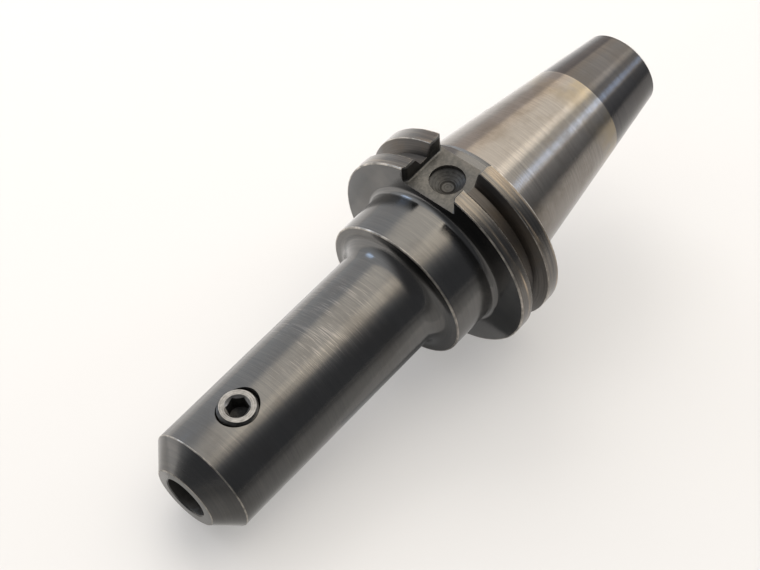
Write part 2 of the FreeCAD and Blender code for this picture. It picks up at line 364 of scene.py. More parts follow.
def finish_piece(obj: Object, tilt: float, body: str) -> None:
    """Tilts a level piece into its rest, smooths it between its sharp edges and fixes it to its body.

    Args:
        obj: The piece, drawn level.
        tilt: The holder's tilt about Y, in radians.
        body: The CAD body that it rides on.
    """
    obj.data.transform(Matrix.Rotation(tilt, 4, "Y"))
    obj.data.polygons.foreach_set("use_smooth", [True] * len(obj.data.polygons))
    obj.data.set_sharp_from_angle(angle=math.radians(SHARP_ANGLE))
    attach(obj, body)
    log.info("%s: %d faces", obj.name, len(obj.data.polygons))


class Graph:
    """Adds nodes to one node tree and joins them."""

    def __init__(self, tree: NodeTree) -> None:
        """Holds the tree."""
        self.tree = tree

    def feed(self, node: Node, sources: Sources) -> None:
        """Joins a node's inputs, by name or number, to other sockets, or sets their values."""
        for label, source in sources.items():
            if isinstance(source, NodeSocket):
                self.tree.links.new(source, node.inputs[label])
            else:
                node.inputs[label].default_value = source

    def node(self, kind: str, sources: Sources | None = None, **settings: object) -> Node:
        """Adds a node, sets its own settings and feeds its inputs."""
        made = self.tree.nodes.new(kind)
        for name, setting in settings.items():
            setattr(made, name, setting)
        self.feed(made, sources or {})
        return made

    def group(self, tree: NodeTree, sources: Sources | None = None) -> Node:
        """Places a node group."""
        return self.node("ShaderNodeGroup", sources, node_tree=tree)

    def coordinates(self, kind: str) -> NodeSocket:
        """Adds a Texture Coordinate node and gives one kind of place."""
        return self.node("ShaderNodeTexCoord").outputs[kind]

    def product(self, first: object, second: object) -> NodeSocket:
        """Multiplies two values."""
        return self.node("ShaderNodeMath", {0: first, 1: second}, operation="MULTIPLY").outputs[0]

    def vector(self, operation: str, *sources: object) -> NodeSocket:
        """Adds a Vector Math node and gives its vector, or its number where it measures."""
        made = self.node("ShaderNodeVectorMath", dict(enumerate(sources)), operation=operation)
        return made.outputs["Value" if operation in MEASURES else "Vector"]

    def ramp(self, value: object, step: Point, ends: Point = (0.0, 1.0)) -> NodeSocket:
        """Adds a smooth step that goes from one end to the other as a value goes through its step."""
        made = self.node("ShaderNodeMapRange", {"Value": value}, interpolation_type="SMOOTHSTEP")
        self.feed(made, {"From Min": step[0], "From Max": step[1], "To Min": ends[0], "To Max": ends[1]})
        return made.outputs[0]

    def mix(self, share: object, first: object, second: object) -> NodeSocket:
        """Adds a colour mix by a share."""
        return self.node("ShaderNodeMix", {"Factor": share, 6: first, 7: second}, data_type="RGBA").outputs[2]

    def noise(self, place: NodeSocket, scale: object, detail: float, roughness: float = 0.6) -> NodeSocket:
        """Adds a noise texture with a scale for each axis and gives its value."""
        stretched = self.vector("MULTIPLY", place, scale)
        sources = {"Vector": stretched, "Scale": 1.0, "Detail": detail, "Roughness": roughness}
        return self.node("ShaderNodeTexNoise", sources).outputs["Fac"]


def rgba(colour: Colour) -> tuple[float, float, float, float]:
    """A colour with full opacity."""
    return (*colour, 1.0)


def new_material(name: str) -> tuple[Material, Graph, Node]:
    """Makes a material, and gives its graph and its Principled shader with it."""
    material = bpy.data.materials.new(name)
    material.use_nodes = True
    return material, Graph(material.node_tree), material.node_tree.nodes["Principled BSDF"]


def new_group(name: str, inputs: Sequence[str], outputs: dict[str, str]) -> tuple[Graph, Node, Node]:
    """Makes a shader node group with named sockets.

    Args:
        name: The group's name.
        inputs: The names of its inputs, which take vectors.
        outputs: Each output's socket type, by the output's name.

    Returns:
        The group's graph, its input node and its output node.
    """
    tree = bpy.data.node_groups.new(name, "ShaderNodeTree")
    for label in inputs:
        tree.interface.new_socket(label, in_out="INPUT", socket_type="NodeSocketVector")
    for label, kind in outputs.items():
        tree.interface.new_socket(label, in_out="OUTPUT", socket_type=kind)
    graph = Graph(tree)
    return graph, graph.node("NodeGroupInput"), graph.node("NodeGroupOutput")


class Effects:
    """The shared shader node groups, whose patterns follow the holder's tilted axis."""

    def __init__(self, tilt: float) -> None:
        """Builds each group once: the level place, fine lines round the axis, and soft patches."""
        self.axis = (math.cos(tilt), 0.0, -math.sin(tilt))
        self.place = self.level_place(tilt)
        self.lines = self.noise_pattern("Turning Lines", "Lines", (0.35, 0.65), detail=3.0, roughness=0.75)
        self.stains = self.noise_pattern("Stain Patches", "Stain", (0.45, 0.7), detail=5.0, roughness=0.6)

    @staticmethod
    def level_place(tilt: float) -> NodeTree:
        """Gives the place on the level holder, and its part along the axis."""
        outputs = {"Place": "NodeSocketVector", "Along": "NodeSocketFloat"}
        graph, _, exit_node = new_group("Level Place", (), outputs)
        sources = {"Vector": graph.coordinates("Object"), "Rotation": (0.0, -tilt, 0.0)}
        level = graph.node("ShaderNodeMapping", sources).outputs[0]
        parts = graph.node("ShaderNodeSeparateXYZ", {0: level})
        graph.feed(exit_node, {"Place": level, "Along": parts.outputs[0]})
        return graph.tree

    @staticmethod
    def noise_pattern(name: str, output: str, step: Point, detail: float, roughness: float) -> NodeTree:
        """Gives a mask of noise with a scale for each axis.

        Args:
            name: The group's name.
            output: The name of the mask.
            step: The noise values at which the mask starts and is full.
            detail: The noise's detail.
            roughness: The noise's roughness.

        Returns:
            The group.
        """
        graph, entry, exit_node = new_group(name, ("Place", "Scale"), {output: "NodeSocketFloat"})
        noise = graph.noise(entry.outputs["Place"], entry.outputs["Scale"], detail, roughness)
        graph.feed(exit_node, {output: graph.ramp(noise, step)})
        return graph.tree


@dataclass(frozen=True)
class SteelFinish:
    """A turned, ground or milled steel surface.

    Attributes:
        name: The material's name.
        dark: The colour between the marks.
        light: The colour of the marks.
        stain: The colour of its stains.
        stain_share: How strongly the stains cover it.
        stain_scale: The size of the stains, as noise scales along the axis and round it.
        line_scale: The fineness of the marks, as noise scales along the axis and round it.
        roughness: Lowest and highest roughness.
        relief: The strength of the marks in the Bump node.
        anisotropy: How far the marks round the axis blur what the steel mirrors across them.
    """

    name: str
    dark: Colour
    light: Colour
    stain: Colour
    stain_share: float = 0.5
    stain_scale: Triple = (60.0, 60.0, 60.0)
    line_scale: Triple = (5200.0, 45.0, 45.0)
    roughness: Point = (0.3, 0.42)
    relief: float = 0.25
    anisotropy: float = 0.0

    def material(self, effects: Effects) -> Material:
        """Builds the material from the shared groups."""
        material, graph, shader = new_material(self.name)
        level = graph.group(effects.place)
        place = level.outputs["Place"]
        lines = graph.group(effects.lines, {"Place": place, "Scale": self.line_scale}).outputs["Lines"]
        stains = graph.group(effects.stains, {"Place": place, "Scale": self.stain_scale}).outputs["Stain"]
        colour = graph.mix(lines, rgba(self.dark), rgba(self.light))
        colour = graph.mix(graph.product(stains, self.stain_share), colour, rgba(self.stain))
        marks = {"Strength": self.relief, "Distance": MARK_DEPTH, "Height": lines}
        graph.feed(shader, {
            "Base Color": self.extra_colour(graph, level, colour),
            "Roughness": graph.ramp(stains, (0.0, 1.0), self.roughness),
            "Metallic": 1.0,
            "Normal": graph.node("ShaderNodeBump", marks).outputs["Normal"],
        })
        if self.anisotropy > 0.0:
            way_round = graph.vector("CROSS_PRODUCT", effects.axis, graph.coordinates("Object"))
            graph.feed(shader, {"Anisotropic": self.anisotropy, "Anisotropic Rotation": QUARTER_TURN})
            graph.feed(shader, {"Tangent": way_round})
        return material

    def extra_colour(self, graph: Graph, level: Node, colour: NodeSocket) -> NodeSocket:
        """Gives a finish with marks of its own the place to add them.

        Args:
            graph: The material's graph.
            level: The node that gives the place on the level holder.
            colour: The colour so far.

        Returns:
            The colour with the marks.
        """
        return colour


@dataclass(frozen=True)
class ScuffAndGlintFinish(SteelFinish):
    """Turned steel with short bright scuffs round the axis, most of them near one place. They are partly wear
    and partly painted glints, where the turning marks catch the lamp.

    Attributes:
        scuff_and_glint: The colour of the scuffs and painted glints.
        scuff_scale: The fineness of the scuffs, as noise scales along the axis and round it.
        scuff_step: The noise values at which a scuff starts and is full.
        patch_scale: The size of the scuffed patches, in the same way as the fineness.
        patch_step: The noise values at which a patch starts and is full.
        patch_shares: How strong the scuffs are outside a patch and in it.
        scuff_and_glint_place: The middle of the place where the scuffs and painted glints gather, on the
            level holder.
        scuff_and_glint_reach: How far from there they reach fully, and where they end.
        scuff_and_glint_shares: How strong the scuffs are in that place and away from it.
    """

    scuff_and_glint: Colour = (0.26, 0.245, 0.235)
    scuff_scale: Triple = (4600.0, 150.0, 150.0)
    scuff_step: Point = (0.54, 0.66)
    patch_scale: Triple = (70.0, 120.0, 120.0)
    patch_step: Point = (0.4, 0.6)
    patch_shares: Point = (0.1, 0.6)
    scuff_and_glint_place: Triple = (62.0 * MM, -3.0 * MM, 15.5 * MM)
    scuff_and_glint_reach: Point = (7.0 * MM, 26.0 * MM)
    scuff_and_glint_shares: Point = (1.0, 0.12)

    def extra_colour(self, graph: Graph, level: Node, colour: NodeSocket) -> NodeSocket:
        """Adds the scuffs, which are partly painted glints."""
        place = level.outputs["Place"]
        fine = graph.noise(place, self.scuff_scale, detail=1.0)
        patch = graph.noise(place, self.patch_scale, detail=2.0)
        away = graph.vector("DISTANCE", place, self.scuff_and_glint_place)
        worn = graph.ramp(away, self.scuff_and_glint_reach, self.scuff_and_glint_shares)
        patches = graph.product(graph.ramp(patch, self.patch_step, self.patch_shares), worn)
        return graph.mix(graph.product(graph.ramp(fine, self.scuff_step), patches), colour, rgba(self.scuff_and_glint))


@dataclass(frozen=True)
class GroundTaperFinish(SteelFinish):
    """The bright ground band of the taper, yellowed in places beside the dark rear.

    Attributes:
        strip: The yellowed colour.
        strip_reach: Where the yellowing starts and ends along the axis.
        strip_shares: How strong it is at its start and its end.
        patch_scale: The size of its patches, as noise scales.
        patch_step: The noise values at which a patch starts and is full.
    """

    strip: Colour = (0.25, 0.21, 0.15)
    strip_reach: Point = (-45.04 * MM, -31.04 * MM)
    strip_shares: Point = (0.9, 0.0)
    patch_scale: Triple = (75.0, 75.0, 75.0)
    patch_step: Point = (0.42, 0.6)

    def extra_colour(self, graph: Graph, level: Node, colour: NodeSocket) -> NodeSocket:
        """Adds the yellowed strip."""
        near = graph.ramp(level.outputs["Along"], self.strip_reach, self.strip_shares)
        soft = graph.noise(level.outputs["Place"], self.patch_scale, detail=3.0)
        return graph.mix(graph.product(near, graph.ramp(soft, self.patch_step)), colour, rgba(self.strip))


@dataclass(frozen=True)
class DrilledFinish(SteelFinish):
    """A surface with tool marks in rings round an axis that points up.

    Attributes:
        centre: Where that axis stands along the holder.
        ring_width: The distance between two rings.
        ring_step: The heights of the wave at which a ring starts and is full.
        ring_share: How strongly the rings show.
        fade_scale: The size of the places where they fade, as noise scales.
        fade_step: The noise values at which a place starts and is full.
        fade_shares: How much of a ring is left where it fades and elsewhere.
    """

    centre: float = 0.0
    ring_width: float = 0.8 * MM
    ring_step: Point = (0.2, 1.0)
    ring_share: float = 0.6
    fade_scale: Triple = (420.0, 420.0, 420.0)
    fade_step: Point = (0.4, 0.6)
    fade_shares: Point = (0.35, 1.0)

    def extra_colour(self, graph: Graph, level: Node, colour: NodeSocket) -> NodeSocket:
        """Darkens rings round the axis, which fade in and out as they go round."""
        shifted = graph.vector("SUBTRACT", level.outputs["Place"], (self.centre, 0.0, 0.0))
        flat = graph.vector("MULTIPLY", shifted, (1.0, 1.0, 0.0))
        turns = graph.product(graph.vector("LENGTH", flat), math.tau / self.ring_width)
        wave = graph.node("ShaderNodeMath", {0: turns}, operation="SINE").outputs[0]
        faded = graph.ramp(graph.noise(flat, self.fade_scale, detail=2.0), self.fade_step, self.fade_shares)
        rings = graph.product(graph.ramp(wave, self.ring_step, (0.0, self.ring_share)), faded)
        return graph.mix(rings, colour, rgba(self.stain))


HOLDER_FINISHES = {
    # Painted glints: the nose's scuffs gather at its top, in the lamp's highlight band, and are partly wear.
    Region.OXIDE: ScuffAndGlintFinish(
        name="black_oxide_turned",
        dark=(0.112, 0.112, 0.112),
        light=(0.146, 0.142, 0.137),
        stain=(0.1, 0.094, 0.088),
        line_scale=(6500.0, 50.0, 50.0),
        roughness=(0.16, 0.22),
        relief=0.15,
        anisotropy=0.6,
    ),
    Region.GROUND: GroundTaperFinish(
        name="ground_taper",
        dark=(0.19, 0.176, 0.162),
        light=(0.25, 0.23, 0.21),
        stain=(0.135, 0.115, 0.092),
        stain_share=0.6,
        stain_scale=(70.0, 70.0, 70.0),
        roughness=(0.17, 0.24),
        anisotropy=0.4,
    ),
    Region.REAR: SteelFinish(
        name="dark_rear_taper",
        dark=(0.07, 0.069, 0.071),
        light=(0.095, 0.091, 0.09),
        stain=(0.075, 0.067, 0.06),
        roughness=(0.13, 0.19),
        anisotropy=0.4,
    ),
    # Painted glints: the land's golden scuffs gather at its side, and are partly wear.
    Region.LAND: ScuffAndGlintFinish(
        name="flange_land_wear_and_glint",
        dark=(0.085, 0.082, 0.08),
        light=(0.16, 0.15, 0.138),
        stain=(0.3, 0.245, 0.185),
        stain_share=0.75,
        stain_scale=(900.0, 40.0, 40.0),
        line_scale=(3800.0, 30.0, 30.0),
        roughness=(0.2, 0.28),
        scuff_and_glint=(0.6, 0.48, 0.36),
        scuff_scale=(900.0, 40.0, 40.0),
        patch_scale=(70.0, 50.0, 50.0),
        scuff_and_glint_place=(11.0 * MM, 31.5 * MM, 2.0 * MM),
        scuff_and_glint_reach=(14.0 * MM, 32.0 * MM),
    ),
    # Painted shade: the gripper groove is coloured darker than the lands round it, for the shade in the
    # groove.
    Region.GROOVE: SteelFinish(
        name="gripper_groove_painted_shade",
        dark=(0.06, 0.056, 0.053),
        light=(0.09, 0.083, 0.077),
        stain=(0.13, 0.1, 0.07),
        roughness=(0.36, 0.46),
    ),
    Region.MILLED: SteelFinish(
        name="milled_slot_oxide",
        dark=(0.08, 0.079, 0.075),
        light=(0.118, 0.113, 0.106),
        stain=(0.14, 0.133, 0.123),
        stain_share=0.4,
        stain_scale=(260.0, 260.0, 260.0),
        line_scale=EVEN_MARKS,
        roughness=(0.42, 0.52),
        relief=0.2,
    ),
    Region.DIMPLE: DrilledFinish(
        name="drilled_dimple_oxide",
        dark=(0.078, 0.076, 0.072),
        light=(0.105, 0.101, 0.096),
        stain=(0.03, 0.029, 0.027),
        stain_share=0.1,
        stain_scale=(260.0, 260.0, 260.0),
        line_scale=EVEN_MARKS,
        roughness=(0.52, 0.62),
        centre=GROOVE_CENTRE,
    ),
    # Painted shade: the small step round the dimple's flat is coloured near black.
    Region.DIMPLE_RING: SteelFinish(
        name="dimple_ring_painted_shade",
        dark=(0.03, 0.029, 0.027),
        light=(0.05, 0.048, 0.045),
        stain=(0.03, 0.029, 0.027),
        roughness=(0.5, 0.6),
    ),
    # Painted light: the relief behind the neck is coloured as bright as the ground taper, to lift the shade
    # that falls in it.
    Region.NECK: SteelFinish(
        name="relief_painted_light",
        dark=(0.19, 0.182, 0.17),
        light=(0.27, 0.257, 0.24),
        stain=(0.12, 0.113, 0.104),
        roughness=(0.5, 0.6),
    ),
    # Painted shade: the screw hole's mouth and wall are coloured far darker than the oxide round them, for
    # the shade round the screw.
    Region.SCREW_HOLE: SteelFinish(
        name="screw_hole_painted_shade",
        dark=(0.03, 0.028, 0.027),
        light=(0.055, 0.052, 0.049),
        stain=(0.025, 0.023, 0.022),
        line_scale=EVEN_MARKS,
        roughness=(0.3, 0.4),
    ),
    Region.BORE: SteelFinish(
        name="bore_oxide",
        dark=(0.17, 0.162, 0.154),
        light=(0.26, 0.247, 0.232),
        stain=(0.12, 0.113, 0.106),
        roughness=(0.42, 0.55),
    ),
    Region.EDGE: SteelFinish(
        name="worn_edge",
        dark=(0.24, 0.226, 0.207),
        light=(0.5, 0.46, 0.41),
        stain=(0.12, 0.113, 0.104),
        stain_share=0.6,
        stain_scale=(400.0, 400.0, 400.0),
        line_scale=(300.0, 300.0, 300.0),
        roughness=(0.34, 0.46),
        relief=0.1,
    ),
}


@dataclass
class HolderBody:
    """The turned and ground body with its slots, dimple and holes."""

    taper_slope: float = 7.0 / 48.0
    gauge_radius: float = 22.225 * MM
    taper_length: float = 68.25 * MM
    taper_end_chamfer: float = 1.0 * MM
    ground_start: float = 2.1 * MM
    ground_end: float = 45.04 * MM
    relief_depth: float = 0.52 * MM
    relief_slope: float = 1.1 * MM
    neck_radius: float = 24.1 * MM
    neck_rear: float = 0.2 * MM
    neck_edge: float = 0.4 * MM
    flange_radius: float = 31.75 * MM
    flange_rear: float = 3.175 * MM
    flange_front: float = 19.05 * MM
    flange_edge: float = 0.4 * MM
    groove_centre: float = GROOVE_CENTRE
    groove_mouth: float = 7.0 * MM
    groove_root: float = 2.8 * MM
    groove_slope: float = FLANK_SLOPE
    groove_break: float = 0.15 * MM
    slot_half: float = 8.19 * MM
    upper_slot_height: float = 25.0 * MM
    lower_slot_height: float = 22.7 * MM
    slot_corner: float = 0.8 * MM
    slot_edge: float = 0.45 * MM
    slot_break: float = 0.4 * MM
    slot_flare: float = 0.85 * MM
    slot_flare_length: float = 1.3 * MM
    dimple_radius: float = 5.08 * MM
    dimple_wall: float = 1.35 * MM
    dimple_flat_radius: float = 1.65 * MM
    dimple_flat_ring: float = 0.55 * MM
    dimple_flat_drop: float = 0.22 * MM
    collar_radius: float = 22.225 * MM
    collar_front: float = 34.925 * MM
    collar_edge: float = 0.45 * MM
    collar_fillet: float = 1.8 * MM
    nose_radius: float = 15.875 * MM
    nose_front: float = NOSE_FRONT
    nose_fillet: float = 5.0 * MM
    nose_chamfer: float = 6.35 * MM
    nose_break: float = 0.2 * MM
    bore_radius: float = 6.35 * MM
    bore_depth: float = 50.8 * MM
    bore_edge: float = 0.3 * MM
    coolant_radius: float = 4.0 * MM
    stud_radius: float = 7.9375 * MM
    stud_depth: float = 30.0 * MM
    stud_pilot_radius: float = 8.2 * MM
    stud_pilot_depth: float = 4.8 * MM
    screw_place: float = SCREW_PLACE
    screw_proud: float = 0.2 * MM
    screw_hole_radius: float = 5.60625 * MM
    screw_hole_chamfer: float = 0.75 * MM

    def taper_radius(self, behind: float) -> float:
        """The taper's radius a distance behind the gauge plane."""
        return self.gauge_radius - behind * self.taper_slope

    def taper_stretches(self) -> list[Stretch]:
        """The outline of the taper and the neck, up to the flange's rim."""
        end_radius = self.taper_radius(self.taper_length)
        slant = math.hypot(1.0, self.taper_slope)
        bevel_place = self.taper_length - self.taper_end_chamfer / slant
        ground_radius = self.taper_radius(self.ground_start)
        relief_radius = ground_radius - self.relief_depth
        rear = self.neck_rear
        neck = self.neck_radius
        edge = self.neck_edge
        relief = (
            (-self.ground_start + self.relief_slope, relief_radius),
            (rear, relief_radius),
            (rear, neck - edge),
        )
        flange_back = ((self.flange_rear, neck), (self.flange_rear, self.flange_radius - self.flange_edge))
        return [
            straight(Region.REAR, (-self.taper_length, end_radius - self.taper_end_chamfer)),
            straight(Region.EDGE, (-bevel_place, self.taper_radius(bevel_place))),
            straight(Region.REAR, (-self.ground_end, self.taper_radius(self.ground_end))),
            straight(Region.GROUND, (-self.ground_start, ground_radius)),
            # The relief here carries the painted light of its finish.
            straight(Region.NECK, *relief),
            soft_edge(Region.OXIDE, (rear, neck), (rear + edge, neck)),
            straight(Region.OXIDE, *flange_back),
        ]

    def flange_stretches(self) -> list[Stretch]:
        """The outline of the flange's rim with its gripper groove."""
        radius = self.flange_radius
        depth = (self.groove_mouth - self.groove_root) / 2 / self.groove_slope
        root_radius = radius - depth
        rear_mouth = self.groove_centre - self.groove_mouth / 2
        front_mouth = self.groove_centre + self.groove_mouth / 2
        small = self.groove_break
        step = small * self.groove_slope
        rear = self.flange_rear
        front = self.flange_front
        edge = self.flange_edge
        return [
            soft_edge(Region.EDGE, (rear, radius), (rear + edge, radius)),
            straight(Region.LAND, (rear_mouth - small, radius)),
            straight(Region.EDGE, (rear_mouth + step, radius - small)),
            straight(
                Region.GROOVE,
                (self.groove_centre - self.groove_root / 2, root_radius),
                (self.groove_centre + self.groove_root / 2, root_radius),
                (front_mouth - step, radius - small),
            ),
            straight(Region.EDGE, (front_mouth + small, radius)),
            straight(Region.LAND, (front - edge, radius)),
            soft_edge(Region.EDGE, (front, radius), (front, radius - edge)),
        ]

    def nose_stretches(self) -> list[Stretch]:
        """The outline of the flange's front, the collar and the nose."""
        collar = self.collar_radius
        collar_front = self.collar_front
        edge = self.collar_edge
        nose = self.nose_radius
        chamfer_start = self.nose_front - self.nose_chamfer
        face = nose - self.nose_chamfer
        front = self.nose_front
        small = self.nose_break
        slant = small * math.sqrt(0.5)
        collar_side = ((self.flange_front, collar), (collar_front - edge, collar))
        nose_side = ((collar_front, nose), (chamfer_start - small, nose))
        return [
            straight(Region.OXIDE, *collar_side, fillet=self.collar_fillet),
            soft_edge(Region.EDGE, (collar_front, collar), (collar_front, collar - edge)),
            straight(Region.OXIDE, *nose_side, fillet=self.nose_fillet),
            soft_edge(Region.EDGE, (chamfer_start, nose), (chamfer_start + slant, nose - slant)),
            straight(Region.OXIDE, (front - slant, face + slant)),
            soft_edge(Region.EDGE, (front, face), (front, face - small)),
            straight(Region.OXIDE, (front, self.bore_radius + self.bore_edge)),
            straight(Region.OXIDE, (front - self.bore_edge, self.bore_radius)),
        ]

    def inner_stretches(self) -> list[Stretch]:
        """The outline of the hole through the axis, from the nose's front to the taper's small end."""
        bore_end = self.nose_front - self.bore_depth
        stud_end = self.stud_depth - self.taper_length
        pilot_end = self.stud_pilot_depth - self.taper_length
        return [
            straight(
                Region.BORE,
                (bore_end, self.bore_radius),
                (bore_end - (self.bore_radius - self.coolant_radius) / POINT_SLOPE, self.coolant_radius),
                (stud_end + (self.stud_radius - self.coolant_radius) / POINT_SLOPE, self.coolant_radius),
                (stud_end, self.stud_radius),
                (pilot_end, self.stud_radius),
                (pilot_end, self.stud_pilot_radius),
                (-self.taper_length, self.stud_pilot_radius),
            ),
        ]

    def slot_outline(self, height: float, way: float) -> list[Point]:
        """The outline of a drive slot, with flared walls at its rim.

        Args:
            height: The floor's distance from the axis.
            way: 1 for the upper slot and -1 for the lower one.

        Returns:
            The outline's corners, from the middle of the floor's one side round to the other's.
        """
        wall = self.slot_half
        corner = self.slot_corner
        flare = wall + self.slot_edge
        rim = math.sqrt(self.flange_radius**2 - flare**2) - self.slot_edge
        top = self.flange_radius + self.slot_edge
        half = [
            *eased((wall - corner, height), (wall, height), (wall, height + corner)),
            (wall, rim),
            (wall + top - rim, top),
        ]
        return [
            *[(across, way * up) for across, up in half],
            *[(-across, way * up) for across, up in reversed(half)],
        ]

    def cutters(self) -> list[Object]:
        """Builds the solids that are cut out of the turned body."""
        stations = (
            (-OVERCUT, self.slot_flare),
            (self.flange_rear, self.slot_flare),
            (self.flange_rear + self.slot_flare_length, 0.0),
            (self.flange_front - self.slot_flare_length, 0.0),
            (self.flange_front + OVERCUT, self.slot_flare * (1 + OVERCUT / self.slot_flare_length)),
        )
        upper = self.slot_outline(self.upper_slot_height, 1.0)
        lower = self.slot_outline(self.lower_slot_height, -1.0)
        return [
            piece("upper_slot_cutter", loft(upper, stations, Region.MILLED.value)),
            piece("lower_slot_cutter", loft(lower, stations, Region.MILLED.value)),
            piece("dimple_cutter", self.dimple()),
            piece("screw_hole_cutter", self.screw_hole()),
        ]

    def dimple(self) -> BMesh:
        """The drilled dimple with the small flat at its point."""
        wall_foot = self.upper_slot_height - self.dimple_wall
        ring_radius = self.dimple_flat_radius + self.dimple_flat_ring
        ring_place = wall_foot - (self.dimple_radius - ring_radius) / POINT_SLOPE
        flat_place = ring_place - self.dimple_flat_drop
        top = self.upper_slot_height + OVERCUT
        stretches = [
            straight(Region.DIMPLE, (flat_place, self.dimple_flat_radius)),
            straight(Region.DIMPLE_RING, (ring_place, ring_radius)),
            straight(Region.DIMPLE, (wall_foot, self.dimple_radius)),
            straight(Region.NECK, (top, self.dimple_radius), (top, 0.0)),
        ]
        return turned((flat_place, 0.0), stretches, Axis.SCREW, self.groove_centre, SCREW_SEGMENTS)

    def screw_hole(self) -> BMesh:
        """The clamp screw's hole, from the bore to its countersunk mouth."""
        top = self.nose_radius + OVERCUT
        hole = straight(
            Region.SCREW_HOLE,
            (0.0, self.screw_hole_radius),
            (self.nose_radius - self.screw_hole_chamfer, self.screw_hole_radius),
            (top, self.screw_hole_radius + self.screw_hole_chamfer + OVERCUT),
            (top, 0.0),
        )
        return turned((0.0, 0.0), [hole], Axis.SCREW, self.screw_place, SCREW_SEGMENTS)

    def break_slot_edges(self, obj: Object) -> None:
        """Bevels the sharp edges where the slots meet the flange, and gives them the worn finish."""
        mesh = bmesh.new()
        mesh.from_mesh(obj.data)
        bmesh.ops.remove_doubles(mesh, verts=mesh.verts, dist=CUT_WELD)
        rims = []
        for edge in mesh.edges:
            if len(edge.link_faces) != 2:
                continue
            regions = {face.material_index for face in edge.link_faces}
            on_slot = Region.MILLED.value in regions and len(regions) == 2
            if on_slot and edge.calc_face_angle_signed() > math.radians(RIM_ANGLE):
                rims.append(edge)
        made = bmesh.ops.bevel(
            mesh,
            geom=rims,
            offset=self.slot_break,
            offset_type="OFFSET",
            segments=BREAK_SEGMENTS,
            profile=0.5,
            affect="EDGES",
            material=-1,
            clamp_overlap=True,
        )
        for face in made["faces"]:
            face.material_index = Region.EDGE.value
        log.info("slot edges broken: %d", len(rims))
        mesh.to_mesh(obj.data)
        mesh.free()

    def build(self, effects: Effects, tilt: float) -> Object:
        """Builds the body in the place of its CAD node.

        Args:
            effects: The shared node groups.
            tilt: The holder's tilt about Y.

        Returns:
            The finished piece.
        """
        materials = [HOLDER_FINISHES[region].material(effects) for region in Region]
        start = (-self.taper_length, self.stud_pilot_radius)
        stretches = [
            *self.taper_stretches(),
            *self.flange_stretches(),
            *self.nose_stretches(),
            *self.inner_stretches(),
        ]
        mesh = turned(start, stretches, Axis.HOLDER, 0.0, HOLDER_SEGMENTS)
        obj = piece("holder_turned_body", mesh, materials)
        combine(obj, self.cutters(), "DIFFERENCE")
        self.break_slot_edges(obj)
        finish_piece(obj, tilt, "holder")
        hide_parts("holder_body")
        return obj


@dataclass(frozen=True)
class ThreadRidge:
    """The ridge of an internal thread, which stands in from the wall of a plain hole.

    Attributes:
        name: The piece's name.
        axis: The hole's axis.
        pitch: The thread's pitch.
        wall_radius: The hole's radius.
        crest_radius: The radius that the ridge stands in to.
        crest_width: The width of its flat crest.
        low: Where the ridge starts along the axis.
        high: Where it ends.
        start: Where the middle of its crest stands along the axis, before it is cut to length.
        centre: Where the axis stands along X, for an axis that points up.
        sunk: How far the ridge's foot is sunk in the wall.
    """

    name: str
    axis: Axis
    pitch: float
    wall_radius: float
    crest_radius: float
    crest_width: float
    low: float
    high: float
    start: float
    centre: float = 0.0
    sunk: float = 0.05 * MM

    def build(self, material: Material, tilt: float) -> None:
        """Builds the ridge on the holder's body.

        Args:
            material: The finish of the hole's wall.
            tilt: The holder's tilt about Y.
        """
        seat = self.wall_radius + self.sunk
        crest = self.crest_width / 2
        foot = crest + (seat - self.crest_radius) * FLANK_SLOPE
        turns = math.ceil((self.high - self.low) / self.pitch) + 2
        tooth = (
            (self.start - foot, seat),
            (self.start - crest, self.crest_radius),
            (self.start + crest, self.crest_radius),
            (self.start + foot, seat),
        )
        mesh = helix(tooth, self.axis, self.pitch, turns, closed=True)
        trimmed(mesh, self.axis, self.low, self.high)
        bmesh.ops.translate(mesh, verts=mesh.verts, vec=(self.centre, 0.0, 0.0))
        finish_piece(piece(self.name, mesh, [material]), tilt, "holder")


SCREW_FINISHES = {
    ScrewRegion.THREAD: SteelFinish(
        name="screw_black_oxide",
        dark=(0.05, 0.048, 0.046),
        light=(0.09, 0.087, 0.083),
        stain=(0.04, 0.038, 0.036),
        line_scale=EVEN_MARKS,
        roughness=(0.35, 0.5),
    ),
    ScrewRegion.FACE: DrilledFinish(
        name="screw_bright_face",
        dark=(0.235, 0.226, 0.215),
        light=(0.345, 0.333, 0.318),
        stain=(0.12, 0.115, 0.108),
        stain_share=0.2,
        stain_scale=(300.0, 300.0, 300.0),
        line_scale=(700.0, 700.0, 700.0),
        roughness=(0.38, 0.46),
        centre=SCREW_PLACE,
        ring_width=0.62 * MM,
        ring_share=0.7,
    ),
    ScrewRegion.SOCKET: SteelFinish(
        name="screw_socket_oxide",
        dark=(0.12, 0.117, 0.112),
        light=(0.2, 0.194, 0.186),
        stain=(0.09, 0.087, 0.083),
        line_scale=EVEN_MARKS,
        roughness=(0.5, 0.6),
    ),
    # Painted shade: the socket's floor and the drilled point under it are coloured near black, for the shade
    # deep in the socket.
    ScrewRegion.SOCKET_FLOOR: SteelFinish(
        name="screw_socket_floor_painted_shade",
        dark=(0.035, 0.0345, 0.034),
        light=(0.06, 0.059, 0.057),
        stain=(0.025, 0.0245, 0.024),
        line_scale=EVEN_MARKS,
        roughness=(0.5, 0.6),
    ),
}


